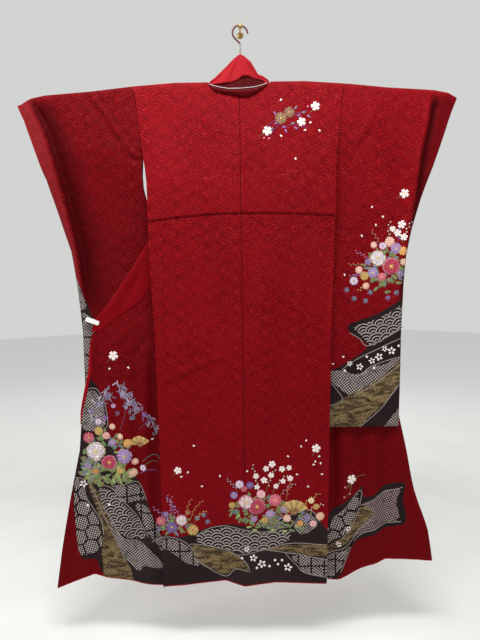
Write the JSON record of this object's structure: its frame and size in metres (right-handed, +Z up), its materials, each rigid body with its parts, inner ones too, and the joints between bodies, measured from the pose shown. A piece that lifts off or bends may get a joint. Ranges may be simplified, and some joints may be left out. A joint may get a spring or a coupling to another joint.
{
  "type": "furisode hanging on a kimono hanger from a wall hook",
  "caption": "Long-sleeved formal kimono hung back outward by its shoulders on a straight rod hanger, which hooks over a small wall hook.",
  "frame": {"origin": "the point on the wall where the wall hook's plate is fixed, at the centre of its back face", "axes": "+Z up; +Y into the wall; +X to the right as the garment's back is looked at; the wall face is y = 0"},
  "size_m": [1.357, 0.091, 1.8492],
  "materials": {
    "silk": "figured red silk with dyed, embroidered and gold-dusted hem pattern",
    "lining": "plain red silk lining",
    "piping": "pale silk",
    "clip": "white satin",
    "hanger_rod": "dark lacquered wood",
    "hanger_stem": "bright",
    "hanger_hook": "dark copper brown, glossy",
    "wall_hook": "polished"
  },
  "bodies": {
    "root": {"back_left": "silk", "back_right": "silk", "front_left": "silk", "front_left_flap": "silk", "front_right": "silk", "front_right_flap": "silk", "okumi_left": "silk", "okumi_right": "silk", "collar_left_upper": "silk", "collar_left": "silk", "collar_right_upper": "silk", "collar_right": "silk", "sleeve_left_back": "silk", "sleeve_left_front": "silk", "sleeve_right_back": "silk", "sleeve_right_front": "silk", "collar_back": "silk", "collar_piping": "piping", "collar_peak": "lining", "hem_roll_back": "lining", "hem_roll_front_left": "lining", "hem_roll_front_right": "lining", "edge_roll_left": "lining", "hanger_arm_left": "hanger_rod", "hanger_arm_right": "hanger_rod", "hanger_hub": "hanger_rod", "hanger_stem": "hanger_stem", "hanger_hook": "hanger_hook", "wall_hook": "wall_hook", "display_clip": "clip"}
  },
  "joints": []
}
